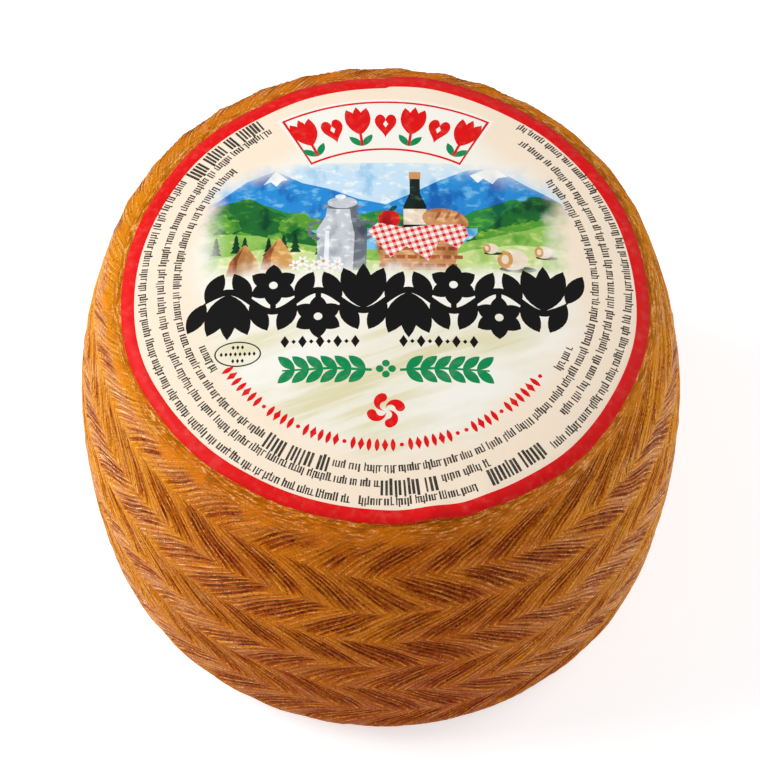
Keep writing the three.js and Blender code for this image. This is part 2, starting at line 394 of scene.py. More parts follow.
class RindMesh:
    """Vertices of the rind in rows, with what the marks are at each."""

    def __init__(self, form, plait, label):
        self.plait = plait
        self.label = label
        self.outline = Outline(form, plait.top_level)
        self.columns = plait.hollows_round * plait.fibres * COLUMNS_PER_FIBRE
        self.per_hollow = self.columns / plait.hollows_round
        upper, lower = smooth_rows(plait, self.outline, self.columns)
        rows = upper + plait_rows(plait, self.columns) + lower
        self.turn = np.array([row[0] for row in rows])
        self.fall = np.array([row[1] for row in rows])
        self.band = np.array([row[2] for row in rows])[:, None]
        self.share = np.array([row[3] for row in rows])[:, None]
        self.warp()
        self.mark()
        self.place()

    def uneven(self, amount, size, seed, stretch=1.0):
        """Noise over the rind, the same after a full turn."""
        reach = self.outline.radius.max()
        points = around(self.turn, reach, self.fall * stretch)
        return amount * lumps(points.reshape(-1, 3), size, seed).reshape(self.turn.shape)

    def clear_of_ends(self, part):
        """1 along a stroke, and 0 at both its ends over a part of its length."""
        return risen(self.share, 0, part) * risen(1 - self.share, 0, part)

    def warp(self):
        """Pull the plait out of true, as hand-plaited straw is."""
        above_foot = self.outline.foot_fall - self.fall
        inside = risen(self.fall, -4 * MM, 1 * MM) * risen(above_foot, 0, 6 * MM)
        self.turn = self.turn + inside * self.uneven(*TURN_DRIFT)
        self.fall = self.fall + inside * sum(self.uneven(*drift) for drift in FALL_DRIFTS)

    def top_start(self):
        """1 on the strokes, rising from 0 where the top band's begin, higher up at the back."""
        at_back = 2.5 * MM * (1 - np.cos(self.turn))
        at_front = 1.2 * MM * bell(self.turn, 0.4, 0.45)
        start = at_front - at_back - 0.9 * MM
        return np.where(self.band == 0, risen(self.fall, start, start + 4 * MM), 1.0)

    def soaked(self, hollow):
        """How far the stain has soaked into each hollow, unevenly; the hollows are also made darker at the
        front.
        """
        by_hollow = 0.62 + 0.42 * whole_hash(hollow, self.band + 3)
        by_patch = 0.6 + 0.7 * ease(0.5 + self.uneven(*STAIN_PATCHES))
        turn = half_turns(self.turn)
        top_band = 0.75 + 0.25 * np.cos(turn - 0.4) - 0.4 * bell(turn, -1.0, 0.5)
        at_front = 0.45 * bell(turn, 0.3, 0.24) * bell(self.fall, 13 * MM, 15 * MM)
        return by_hollow * by_patch * np.where(self.band == 0, top_band, 1.0) + at_front

    def mark(self):
        """Leaf-shaped hollows with fibre ridges in them, their stain, and the strokes' way."""
        plait = self.plait
        even = self.band % 2 == 0
        column = np.arange(self.columns)[None, :]
        self.across = column / self.per_hollow + np.where(even, EVEN_BAND_SHIFT, 0)
        number = np.floor(self.across)
        hollow = number % plait.hollows_round
        aside = np.abs(2 * (self.across - number) - 1)
        inside = np.sin(math.pi * self.share) ** LEAF_FULLNESS - aside
        on_band = (self.band >= 0) * self.top_start()
        leaf = risen(inside, 0, LEAF_EDGE) * on_band
        self.stain = risen(inside, 0, STAIN_EDGE) * on_band * self.soaked(hollow)
        self.way = np.where(even, 1, -1) * self.clear_of_ends(STROKE_TIP) * on_band
        self.jitter = self.uneven(*STROKE_DRIFT)
        phase = self.across * plait.fibres + self.jitter
        crest = (0.5 + 0.5 * np.cos(FULL_TURN * phase)) ** RIDGE_SHARPNESS
        ridges = crest * (0.25 + 0.75 * leaf) * self.clear_of_ends(RIDGE_END) * on_band
        depth = (0.6 + 0.4 * whole_hash(self.band, hollow)) * leaf
        self.height = plait.fibre_height * ridges - plait.hollow_depth * depth

    def place(self):
        """Lay the vertices on the outline, moved in or out by the marks and by small lumps."""
        radius, level, outward, upward = self.outline.at(self.fall)
        open_side = risen(self.fall, -7 * MM, -2 * MM) * (self.fall < self.outline.foot_fall - 0.1 * MM)
        lumpy = sum(self.uneven(*lump) for lump in SIDE_LUMPS)
        lumpy = lumpy + risen(-self.fall, 1.5 * MM, 5.5 * MM) * self.uneven(*SHOULDER_CREASES)
        height = self.height + lumpy * open_side
        flat = around(self.turn, radius, level)
        from_label = np.hypot(flat[..., 0] - self.label.shift_x, flat[..., 1] - self.label.shift_y)
        covered = risen(self.label.radius - from_label, -2.2 * MM, -1.0 * MM) * (self.fall < 10 * MM)
        height = height - covered * np.maximum(height - 0.05 * MM, 0)
        reach = radius * roundness(self.turn) + outward * height
        self.points = around(self.turn, reach, np.maximum(level + upward * height, 0))

    def faces(self):
        """Quads between the rows, and a fan at each end."""
        rows, columns = self.turn.shape
        index = np.arange(rows * columns).reshape(rows, columns)
        following = np.roll(index, -1, axis=1)
        quads = np.stack([index[:-1], index[1:], following[1:], following[:-1]], axis=-1)
        top, bottom = rows * columns, rows * columns + 1
        first = [(top, a, b) for a, b in zip(index[0], following[0])]
        last = [(bottom, b, a) for a, b in zip(index[-1], following[-1])]
        return quads.reshape(-1, 4).tolist() + first + last

    def stroke_corners(self):
        """For each face corner: place across the fibres and place down the bands."""
        fibres = self.plait.fibres
        across = self.across[:-1] * fibres
        following = across + fibres / self.per_hollow
        jitter, next_jitter = self.jitter, np.roll(self.jitter, -1, axis=1)
        phases = np.stack([across + jitter[:-1], across + jitter[1:],
                           following + next_jitter[1:], following + next_jitter[:-1]], axis=-1)
        down = self.fall / self.plait.band_width
        next_down = np.roll(down, -1, axis=1)
        downs = np.stack([down[:-1], down[1:], next_down[1:], next_down[:-1]], axis=-1)
        values = np.stack([phases, downs, np.zeros_like(downs)], axis=-1).reshape(-1, 3)
        return np.concatenate([values, np.zeros((2 * self.columns * 3, 3))])


def mesh_object(name, points, faces):
    """A smooth mesh object linked to the scene."""
    mesh = bpy.data.meshes.new(name)
    mesh.from_pydata([tuple(point) for point in points], [], faces)
    mesh.polygons.foreach_set("use_smooth", [True] * len(mesh.polygons))
    mesh.validate()
    piece = bpy.data.objects.new(name, mesh)
    bpy.context.scene.collection.objects.link(piece)
    return piece


def write_attribute(mesh, name, domain, values):
    """Keep a vector for each vertex or face corner of a mesh."""
    layer = mesh.attributes.new(name, "FLOAT_VECTOR", domain)
    layer.data.foreach_set("vector", np.asarray(values, dtype=np.float32).ravel())


# Printed shapes, in millimetres from the label's middle

def placed(points, at=(0, 0), turned=0.0):
    """Points turned and moved."""
    cosine, sine = math.cos(turned), math.sin(turned)
    x, y = np.asarray(points, float).T
    return np.stack([at[0] + cosine * x - sine * y, at[1] + sine * x + cosine * y], axis=-1)


def box_shape(width, height):
    """Corners of a bar about its middle."""
    return np.array([(-width, -height), (width, -height), (width, height), (-width, height)]) / 2


def oval(width, height, count=28, start=0.0, end=FULL_TURN):
    """Points round an oval, or along a part of it."""
    closed = end - start >= FULL_TURN - 1e-9
    angle = np.linspace(start, end, count, endpoint=not closed)
    return np.stack([width / 2 * np.cos(angle), height / 2 * np.sin(angle)], axis=-1)


def leaf_shape(size, width, count=9):
    """A pointed leaf along X, from 0 to its size."""
    share = np.linspace(0, 1, count)
    half = width / 2 * np.sin(math.pi * share) ** 0.8
    upper = np.stack([size * share, half], axis=-1)
    lower = np.stack([size * share, -half], axis=-1)[::-1]
    return np.concatenate([upper, lower[1:-1]])


def lozenge(width, height):
    """Corners of a lozenge about its middle."""
    return np.array([(width / 2, 0), (0, height / 2), (-width / 2, 0), (0, -height / 2)])


def comma(size, count=12):
    """One head of the four-headed cross: a drop with a curled tail at the middle."""
    radius = size / 2
    whole = placed(oval(2 * radius, 2 * radius, count, 0, math.pi), (radius, 0))
    hollow = placed(oval(radius, radius, count, math.pi, 0), (radius / 2, 0))
    head = placed(oval(radius, radius, count, math.pi, FULL_TURN), (1.5 * radius, 0))
    return np.concatenate([whole, hollow[1:], head[1:-1]])


def hill(left, right, heights, floor):
    """Land under a smooth crest line through evenly spaced heights."""
    count = 30
    place = np.linspace(0, len(heights) - 1, count)
    low = np.floor(place).astype(int).clip(0, len(heights) - 2)
    part = ease(place - low)
    values = np.array(heights, float)
    crest = values[low] * (1 - part) + values[low + 1] * part
    across = np.linspace(left, right, count)
    top = np.stack([across, crest], axis=-1)[::-1]
    return np.concatenate([[(left, floor), (right, floor)], top])


def crag(left, right, heights, floor):
    """Land under a straight-edged crest line."""
    across = np.linspace(left, right, len(heights))
    top = np.stack([across, heights], axis=-1)[::-1]
    return np.concatenate([[(left, floor), (right, floor)], top])


def puff(at, width, height, bumps, seed):
    """A round bush or cloud with a bumpy edge."""
    angle = np.linspace(0, FULL_TURN, 36, endpoint=False)
    edge = 1 + 0.12 * np.cos(bumps * angle + seed) + 0.06 * np.cos((2 * bumps + 1) * angle + 2 * seed)
    return placed(oval(width, height, len(edge)) * edge[:, None], at)


def on_arc(radius, turn, points):
    """Points laid on a circle about the label's middle, upright towards it.
    The turn is counted from the bottom of the label to the right."""
    at = (radius * math.sin(turn), -radius * math.cos(turn))
    return placed(points, at, turn)


def refined(points, step):
    """The same outline with points added along its long edges."""
    made = []
    for start, end in zip(points, np.roll(points, -1, axis=0)):
        count = max(1, math.ceil(np.linalg.norm(end - start) / step))
        made += [start + (end - start) * part / count for part in range(count)]
    return np.array(made)


def ribbon(points, widths):
    """A stroke along points, as wide at each as given."""
    points = np.asarray(points, float)
    along = np.gradient(points, axis=0)
    along /= np.linalg.norm(along, axis=1)[:, None]
    half = np.stack([-along[:, 1], along[:, 0]], axis=-1) * np.asarray(widths)[:, None] / 2
    return np.concatenate([points - half, (points + half)[::-1]])


class Design:
    """The label's print as shapes in order, each with its ink."""

    def __init__(self, form):
        self.form = form
        self.shapes = []
        self.inks = []
        self.random = np.random.default_rng(41)

    def put(self, ink, points, at=(0, 0), turned=0.0):
        """Print one shape at a place, over what is there, with its points anticlockwise and close."""
        points = refined(placed(points, at, turned), PRINT_STEP_MM)
        x, y = points.T
        if np.sum(x * np.roll(y, -1) - np.roll(x, -1) * y) < 0:
            points = points[::-1]
        self.shapes.append(points)
        self.inks.append(ink)

    def edge(self, inset, wider=0.0):
        """The label's wavy edge, or a line inside it, farther in at the back."""
        turn = np.linspace(0, FULL_TURN, LABEL_EDGE_POINTS, endpoint=False)
        waves = sum(size * np.cos(count * (turn - start)) for size, count, start in EDGE_WAVES)
        for size, width, place in EDGE_BULGES:
            waves += size * bell(half_turns(turn), place, width)
        reach = self.form.radius / MM + waves - inset - wider * ((1 - np.cos(turn)) / 2) ** 2
        return np.stack([reach * np.sin(turn), -reach * np.cos(turn)], axis=-1)

    def fields(self):
        """Red rim and open paper."""
        self.put("red", self.edge(0))
        self.put("paper", self.edge(self.form.rim / MM, 0.6))

    def crest(self):
        """A white field under the rim with a thin red line and a row of red flowers."""
        low, high, half, mean = 27.6, 40.4, 0.5, 38
        for inset, ink in ((0, "white"), (0.55, "red"), (1.0, "white")):
            angle = np.linspace(-half + inset / mean, half - inset / mean, 30) + math.pi
            way = np.stack([np.sin(angle), -np.cos(angle)], axis=-1)
            self.put(ink, np.concatenate([way * (low + inset), (way * (high - inset))[::-1]]))
        motifs, step = 7, 0.139
        for place in range(motifs):
            motif = (self.flower, self.heart)[place % 2]
            motif(math.pi + (place - motifs // 2) * step)

    def flower(self, turn):
        """A red tulip with two green leaves, upright on the arc."""
        foot = on_arc(29.4, turn, [(0, 0)])[0]
        up = turn - math.pi / 2
        inward = np.array([-math.sin(turn), math.cos(turn)])
        for side in (-1, 1):
            self.put("green", leaf_shape(3.2, 1.3), foot, up + side * 0.7)
            self.put("red", leaf_shape(6.6, 2.5), foot - 2.6 * inward, up + side * 0.28)
        self.put("red", leaf_shape(7.0, 2.2), foot - 2.4 * inward, up)
        self.put("red", box_shape(3.0, 0.5), foot - 1.6 * inward, up)

    def heart(self, turn):
        """A red heart with a white lozenge, upright on the arc."""
        angle = np.linspace(0, FULL_TURN, 30, endpoint=False)
        x = np.sin(angle) ** 3
        y = (13 * np.cos(angle) - 5 * np.cos(2 * angle) - 2 * np.cos(3 * angle) - np.cos(4 * angle)) / 16
        at = on_arc(34.3, turn, [(0, 0)])[0]
        self.put("red", np.stack([1.95 * x, 3.1 * y], axis=-1)[::-1], at, turn + math.pi)
        self.put("white", lozenge(0.9, 1.7), at, turn + math.pi)

    def landscape(self):
        """Lake, rounded blue hills, woods and meadows, fading out at the sides."""
        left, right = PICTURE_SIDES
        self.put("sky", crag(left, right, (25.2, 25.2), 10))
        self.put("far_hill", crag(left, right, FAR_CREST, 6))
        self.put("snow", [(-21.5, 20.6), (-19.4, 23.6), (-17.2, 21.6), (-18.3, 21.4),
                          (-19.2, 20.2), (-20.2, 21.2)])
        self.put("snow", [(14.8, 22.6), (17.5, 24.0), (19.6, 24.2), (21.6, 22.6),
                          (19.8, 22.2), (18.8, 20.8), (17.2, 22.0), (16.2, 21.0)])
        self.put("near_hill", hill(left, right, NEAR_CREST, 4))
        self.put("lake", crag(-13, 16, (10.8, 11.0), 6.0))
        self.put("wood", hill(left, -9, (10, 16.5, 17.6, 14.5, 10.5, 8.2), 4))
        self.put("wood", hill(14, right, (8.4, 11.5, 15.5, 18.4, 17.6, 12), 4))
        for place in range(11):
            at = (-31 + place * 2.0, 9.5 + 3.4 * math.sin(place * 0.9 + 0.6))
            self.put("wood_light", puff(at, 3.4, 3.0, 5, place))
            at = (17 + place * 1.5, 9.2 + 0.45 * place)
            self.put("wood_light", puff(at, 2.8, 2.4, 5, place + 3))
        self.put("meadow", hill(left, right, MEADOW_CREST, -1))
        self.put("meadow_light", hill(left, right, PALE_MEADOW_CREST, -1))
        for place in range(9):
            at = (-29.5 + 2.9 * place + 0.8 * math.sin(place * 2.3), 5.6 + 0.4 * math.sin(place * 1.7))
            self.conifer(at, 3.6 + 1.2 * math.sin(place * 3.1) ** 2)
        for at, size in (((22, 4.6), 4.4), ((27.4, 6.4), 2.6), ((18.2, 6.8), 2.2)):
            self.hay_bale(at, size)
        for at in ((-24.5, 1.2), (-18.6, 2.4)):
            self.haystack(at)

    def conifer(self, at, size):
        """A dark fir of stacked points."""
        steps = 4
        right = []
        for step in range(steps):
            low = size * step / steps
            wide = size * 0.24 * (1 - step / steps) + 0.18
            right += [(wide, low), (wide * 0.45, low + size / steps)]
        points = right + [(0, size * 1.08)] + [(-x, y) for x, y in reversed(right)]
        self.put("fir", points, at)

    def hay_bale(self, at, size):
        """A round pale bale with its shade on the grass."""
        self.put("fir", oval(size * 1.5, size * 0.3, 14), (at[0] + 0.2 * size, at[1] - 0.46 * size))
        self.put("bale", oval(size * 1.25, size, 20), at)
        self.put("straw", oval(size * 0.62, size * 0.86, 16), (at[0] - 0.3 * size, at[1]))
        self.put("bale", oval(size * 0.3, size * 0.45, 12), (at[0] - 0.3 * size, at[1]))

    def haystack(self, at):
        """A pointed stack of straw."""
        self.put("straw", [(-3.2, 0), (3.0, 0), (2.2, 3.2), (0.3, 6.4), (-0.2, 6.4), (-2.5, 3.0)], at)
        self.put("brick", [(-3.2, 0), (-1.4, 0), (-1.2, 3.2), (-0.1, 6.2), (-2.5, 3.0)], at)

    def still_life(self):
        """A milk churn beside a basket with a checked cloth, a bottle, a loaf and an apple."""
        self.churn((-7.6, 0))
        self.put("slate", [(3.1, 8), (7.1, 8), (7.1, 15.6), (6.0, 18.4),
                           (6.0, 22.3), (4.2, 22.3), (4.2, 18.4), (3.1, 15.6)])
        self.put("wood_tan", box_shape(2.0, 1.6), (5.1, 22.4))
        self.put("bale", box_shape(4.0, 3.4), (5.1, 13.3))
        self.put("wood_tan", oval(8.2, 5.0, 24), (10.4, 12.6), -0.25)
        for place in range(3):
            self.put("brick", leaf_shape(2.2, 0.6), (8.6 + 1.7 * place, 12.6), 1.1)
        self.put("scarf", oval(3.9, 3.8, 18), (0.6, 12.8))
        self.put("fir", leaf_shape(1.8, 0.9), (0.6, 14.5), 0.7)
        self.basket()
        for place in range(7):
            self.daisy((-15.6 + 1.2 * place, 3.2 + 0.9 * math.sin(place * 2.1)))

    def churn(self, at):
        """A milk churn with a lid and two handles, shaded on its right."""
        right = [(4.2, 2), (4.4, 10.6), (2.9, 13.4), (2.6, 15.4)]
        left = [(-x, y) for x, y in reversed(right)]
        self.put("tin", right + left, at)
        self.put("tin_dark", [(1.9, 2), *right, (1.3, 15.4), (1.6, 12.6), (2.2, 9.6)], at)
        self.put("snow", [(-3.2, 3), (-2.3, 3), (-2.2, 10.2), (-2.9, 10.4)], at)
        self.put("tin_dark", oval(6.9, 1.3, 20), (at[0], 15.6))
        self.put("tin", oval(5.2, 2.5, 20), (at[0], 16.4))
        self.put("snow", oval(1.9, 1.0, 12), (at[0] - 0.3, 17.7))
        for side in (-1, 1):
            handle = np.array([(4.0, 8.5), (5.7, 9.6), (5.5, 11.8), (3.6, 12.4)]) * (side, 1)
            self.put("tin_dark", ribbon(handle, [0.7] * 4), at)

    def basket(self):
        """A woven basket with a checked cloth over its rim."""
        self.put("wood_tan", [(-0.6, 2), (11.8, 2), (13.4, 10.4), (-2.2, 10.4)])
        for row in range(4):
            for place in range(7):
                at = (2.0 * place + row % 2 - 0.4, 3.0 + row * 1.8)
                self.put("brick", box_shape(1.5, 0.75), at)
        self.put("check", [(-3.2, 10.2), (-1.4, 12.0), (3.5, 11.0), (8.0, 11.6), (13.6, 11.8), (14.4, 9.6),
                           (12.6, 6.6), (9.4, 8.4), (7.4, 4.0), (3.6, 7.0), (0.8, 4.6), (-1.4, 7.8)])

    def daisy(self, at):
        """A small white flower with a yellow eye."""
        for petal in range(6):
            turn = petal * FULL_TURN / 6
            step = np.array([math.cos(turn), math.sin(turn)]) * 0.62
            self.put("snow", oval(1.15, 0.5, 8), at + step, turn)
        self.put("straw", oval(0.7, 0.7, 8), at)

    def frieze(self):
        """A heavy black vine with tulips and rosettes across the middle."""
        middle, first, step, swing, reach, tip = -4.1, -27.1, 7.75, 2.1, 31.6, 3
        across = np.linspace(-reach, reach, 90)
        stem = np.stack([across, middle + swing * np.cos(math.pi * (across - first) / step)], axis=-1)
        thick = 1.25 * np.clip((reach + 0.2 - np.abs(across)) / tip, 0.15, 1)
        self.put("black", ribbon(stem, thick))
        for place in range(8):
            way = -1 if place % 2 == 0 else 1
            at = (first + place * step, middle - way * swing * 0.8)
            if place % 4 in (0, 3):
                self.tulip(at, way)
            else:
                self.rosette(at, way)
        for place in range(9):
            way = 1 if place % 2 == 0 else -1
            at = (first + (place - 0.5) * step, middle)
            self.put("black", leaf_shape(6.6, 3.1), at, way * 1.1)
            self.put("black", leaf_shape(6.6, 3.1), at, way * 1.1 + math.pi)

    def tulip(self, at, way):
        """A black tulip, upright or hanging."""
        for side in (-1, 1):
            self.put("black", leaf_shape(9.0, 3.9), at, way * (math.pi / 2 - side * 0.4))
        self.put("black", leaf_shape(9.2, 3.2), at, way * math.pi / 2)

    def rosette(self, at, way):
        """A black rosette of six petals with a pale eye."""
        middle = (at[0], at[1] + way * 4.9)
        self.put("black", box_shape(1.0, 3.0), (at[0], at[1] + way * 1.2))
        for petal in range(6):
            self.put("black", leaf_shape(4.3, 3.0), middle, (petal + 0.5) * FULL_TURN / 6)
        self.put("paper", oval(1.5, 1.5, 14), middle)

    def small_rows(self):
        """Stamped lozenges, the oval stamp, the green garland and the red cross."""
        for start in (-17.2, 3.0):
            for place in range(9):
                size = (1.5, 2.4) if place % 2 == 0 else (0.8, 0.9)
                self.put("black", lozenge(*size), (start + place * 1.5, -12.3))
        stamp = (-25.2, -14.4)
        self.put("black", oval(8.0, 4.9, 40), stamp)
        self.put("paper", oval(7.5, 4.4, 40), stamp)
        for level, bars in ((1.3, 3), (0, 8), (-1.3, 3)):
            for bar in range(bars):
                at = (stamp[0] + (bar - (bars - 1) / 2) * 0.8, stamp[1] + level)
                self.put("black", lozenge(0.55, 0.9), at)
        level = -17.9
        for side in (-1, 1):
            stem = [(side * 2.4, level), (side * 9.0, level + 0.4), (side * 17.6, level)]
            self.put("green", ribbon(stem, [0.5, 0.5, 0.3]))
            for place in range(6):
                at = (side * (3.4 + 2.4 * place), level + 0.2)
                for way in (-1, 1):
                    turned = way * 0.72 if side > 0 else math.pi - way * 0.72
                    self.put("green", leaf_shape(3.9, 1.75), at, turned)
        for quarter in range(4):
            turn = quarter * math.pi / 2
            at = (1.05 * math.cos(turn), level + 0.2 + 1.05 * math.sin(turn))
            self.put("green", oval(1.35, 1.35, 12), at)
            self.put("red", comma(3.3), (0, -25.6), turn + 0.25)

    def red_arc(self):
        """Small upright red leaves in groups along the lower curve, with dots between the groups."""
        turn = math.radians(-57)
        for size in (7, 4, 5, 6, 6, 0, 4, 6):
            for place in range(size):
                mark = placed(leaf_shape(2.4, 0.85), (0, -1.2), math.pi / 2)
                if place % 3 == 1:
                    mark = lozenge(1.15, 2.4)
                self.put("red", on_arc(RED_ARC_RADIUS, turn, mark))
                turn += 0.042
            self.put("red", on_arc(RED_ARC_RADIUS, turn + 0.004, oval(0.75, 0.75, 10)))
            turn += 0.05

    def fine_row(self, radius, start, end, tall):
        """One row of fine upright marks in word-like groups."""
        high, wide = (2.6, 0.42) if tall else (1.15, 0.27)
        turn = start
        while turn < end:
            for _ in range(self.random.integers(*WORD_MARKS)):
                rise = self.random.choice([0, 0, 0, 0.35, -0.3])
                bar = box_shape(wide * self.random.uniform(0.8, 1.3), high + abs(rise))
                self.put("grey", on_arc(radius, turn, placed(bar, (0, rise / 2))))
                step = wide * self.random.uniform(1.55, 2.0)
                if not tall and self.random.random() < JOINED_SHARE:
                    level = self.random.choice([-0.4, 0.4]) * high
                    joint = placed(box_shape(step, wide * 0.7), (0, level))
                    self.put("grey", on_arc(radius, turn + step / 2 / radius, joint))
                turn += step / radius
                if turn > end:
                    break
            turn += 1.6 * wide / radius

    def fine_rows(self):
        """Rows of fine marks round the cream field, open at the top."""
        for radius, start, end, tall in FINE_ROWS:
            self.fine_row(radius, math.radians(start), math.radians(end), tall)

    def draw(self):
        """The whole print, from the back to the front."""
        self.fields()
        self.landscape()
        self.still_life()
        self.crest()
        self.frieze()
        self.small_rows()
        self.red_arc()
        self.fine_rows()
        return self


def paper_heights(form, outline, across, up):
    """Height of the paper's top face over places given in metres from the label's middle."""
    x, y = across + form.shift_x, up + form.shift_y
    lie = outline.crown_level(np.hypot(x, y) / roundness(np.arctan2(x, -y)))
    own = np.arctan2(across, -up)
    out = np.hypot(across, up) / form.radius
    rim = np.clip((out - 0.8) / 0.2, 0, 1) ** 2
    ripple = sum(size * np.sin(count * own + start) for size, count, start in PAPER_RIPPLES)
    lifted = form.lift * sum(bell(own, place, LIFTED_WIDTH) for place in LIFTED_PLACES)
    return lie + form.gap + form.thickness + rim * (ripple + 0.05 * MM + lifted)


def grid_points(radius, spacing):
    """Staggered points over a disc, so that the label's curve is even."""
    rows = int(radius / spacing / GRID_ROW_SHARE) + 1
    points = []
    for row in range(-rows, rows + 1):
        up = row * spacing * GRID_ROW_SHARE
        for column in range(-rows, rows + 1):
            across = (column + 0.5 * (row % 2)) * spacing
            if math.hypot(across, up) < radius:
                points.append((across, up))
    return points


def cut_sheet(design, radius):
    """Triangles of the print, each with the ink that lies on top there."""
    points = []
    faces = []
    for shape in design.shapes:
        faces.append(list(range(len(points), len(points) + len(shape))))
        points += shape.tolist()
    points += grid_points(radius, LABEL_GRID_MM)
    points = [Vector(point) for point in points]
    corners, _, triangles, _, _, owners = delaunay_2d_cdt(points, [], faces, 1, 1e-5)
    kept = [(triangle, max(owner)) for triangle, owner in zip(triangles, owners) if owner]
    inks = [design.inks[owner] for _, owner in kept]
    return np.array([tuple(corner) for corner in corners]), [list(t) for t, _ in kept], inks


def border_edges(triangles):
    """Directed edges that only one triangle has."""
    seen = set()
    for a, b, c in triangles:
        seen.update(((a, b), (b, c), (c, a)))
    return [edge for edge in seen if (edge[1], edge[0]) not in seen]


def build_label(form, outline, inks_in_order):
    """The closed sheet of paper with its print as fields of its top face."""
    design = Design(form).draw()
    flat, triangles, inks = cut_sheet(design, form.radius / MM - 1)
    used = sorted({corner for triangle in triangles for corner in triangle})
    renumber = {corner: place for place, corner in enumerate(used)}
    flat = flat[used] * MM
    triangles = [[renumber[corner] for corner in triangle] for triangle in triangles]
    heights = paper_heights(form, outline, flat[:, 0], flat[:, 1])
    x, y = flat[:, 0] + form.shift_x, flat[:, 1] + form.shift_y
    top = np.stack([x, y, heights], axis=-1)
    below = top - (0, 0, form.thickness)
    count = len(top)
    under = [[count + corner for corner in reversed(triangle)] for triangle in triangles]
    rim = [(b, a, count + a, count + b) for a, b in border_edges(triangles)]
    piece = mesh_object("printed_label", np.concatenate([top, below]), triangles + under + rim)
    order = {ink: place for place, ink in enumerate(inks_in_order)}
    slots = [order[ink] for ink in inks] + [order["paper"]] * len(under) + [order["red"]] * len(rim)
    piece.data.polygons.foreach_set("material_index", slots)
    return piece


# Shader helpers

class Value:
    """An output of a node. Sums and products of values add the nodes that work them out."""

    def __init__(self, socket):
        self.socket = socket
        self.tree = socket.id_data

    def calc(self, operation, *others):
        """A math node's result, with this value as its first input."""
        node = self.tree.nodes.new("ShaderNodeMath")
        node.operation = operation
        for socket, value in zip(node.inputs, (self, *others)):
            feed(socket, value)
        return Value(node.outputs[0])

    def __add__(self, other):
        return self.calc("ADD", other)

    def __sub__(self, other):
        return self.calc("SUBTRACT", other)

    def __mul__(self, other):
        return self.calc("MULTIPLY", other)

    def __rsub__(self, other):
        return self * -1 + other

    def __abs__(self):
        return self.calc("ABSOLUTE")

    def span(self, low, high):
        """This value rescaled so that low becomes 0 and high becomes 1, with soft ends."""
        node = self.tree.nodes.new("ShaderNodeMapRange")
        node.interpolation_type = "SMOOTHSTEP"
        feed(node.inputs["Value"], self)
        node.inputs["From Min"].default_value = low
        node.inputs["From Max"].default_value = high
        return Value(node.outputs["Result"])


def feed(socket, value):
    """Link a value to a socket, or set the socket's own number or colour."""
    if isinstance(value, Value):
        socket.id_data.links.new(value.socket, socket)
    elif socket.type == "RGBA":
        socket.default_value = (*value, 1)
    else:
        socket.default_value = value


def tint(factor, first, second):
    """The first colour turned towards the second by a factor."""
    node = factor.tree.nodes.new("ShaderNodeMix")
    node.data_type = "RGBA"
    feed(node.inputs[0], factor)
    feed(node.inputs[6], first)
    feed(node.inputs[7], second)
    return Value(node.outputs[2])


def layered(base, layers):
    """A colour with others laid over it in order, each where its mask is."""
    for mask, ink in layers:
        base = tint(mask, base, ink)
    return base


def grain(place, scale, detail=3.0, squeeze=(1, 1, 1), turned=0.0):
    """Noise at a place, turned about Z and then squeezed along its axes."""
    node = place.tree.nodes.new("ShaderNodeTexNoise")
    node.inputs["Scale"].default_value = scale
    node.inputs["Detail"].default_value = detail
    mapping = place.tree.nodes.new("ShaderNodeMapping")
    mapping.vector_type = "TEXTURE"
    mapping.inputs["Rotation"].default_value = (0, 0, turned)
    mapping.inputs["Scale"].default_value = [1 / share for share in squeeze]
    feed(mapping.inputs["Vector"], place)
    feed(node.inputs["Vector"], Value(mapping.outputs["Vector"]))
    return Value(node.outputs[0])


def distance(across, up):
    """Length of a flat step."""
    return (across * across + up * up).calc("SQRT")


def parts_of(vector):
    """The three parts of a vector, and the vector itself."""
    node = vector.tree.nodes.new("ShaderNodeSeparateXYZ")
    feed(node.inputs[0], vector)
    return [*map(Value, node.outputs), vector]


def attribute(tree, name):
    """The parts of a vector kept in the mesh, and the vector."""
    node = tree.nodes.new("ShaderNodeAttribute")
    node.attribute_name = name
    return parts_of(Value(node.outputs["Vector"]))


def object_place(tree):
    """Place on the piece in metres: X, Y, Z and the vector."""
    return parts_of(Value(tree.nodes.new("ShaderNodeTexCoord").outputs["Object"]))


def new_material(name):
    """A material, its node tree and its Principled shader, wired to the output."""
    material = bpy.data.materials.new(name)
    material.use_nodes = True
    tree = material.node_tree
    tree.nodes.clear()
    shader = tree.nodes.new("ShaderNodeBsdfPrincipled")
    output = tree.nodes.new("ShaderNodeOutputMaterial")
    tree.links.new(shader.outputs["BSDF"], output.inputs["Surface"])
    return material, tree, shader


def relief(shader, height, depth, strength=1.0):
    """Fine relief on the shader's normal."""
    bump = height.tree.nodes.new("ShaderNodeBump")
    bump.inputs["Distance"].default_value = depth
    bump.inputs["Strength"].default_value = strength
    feed(bump.inputs["Height"], height)
    feed(shader.inputs["Normal"], Value(bump.outputs["Normal"]))


def shader_group(name, inputs, outputs):
    """A new shader node group with named sockets: its tree, inputs and outputs."""
    tree = bpy.data.node_groups.new(name, "ShaderNodeTree")
    for way, sockets in (("INPUT", inputs), ("OUTPUT", outputs)):
        for label, kind in sockets.items():
            tree.interface.new_socket(label, in_out=way, socket_type=kind)
    starts = tree.nodes.new("NodeGroupInput").outputs
    ends = tree.nodes.new("NodeGroupOutput").inputs
    return tree, starts, ends


def placed_group(tree, group, **values):
    """The outputs of a group placed in a tree with its own values."""
    node = tree.nodes.new("ShaderNodeGroup")
    node.node_tree = group
    for label, value in values.items():
        feed(node.inputs[label], value)
    return [Value(socket) for socket in node.outputs]


# Finish of the rind

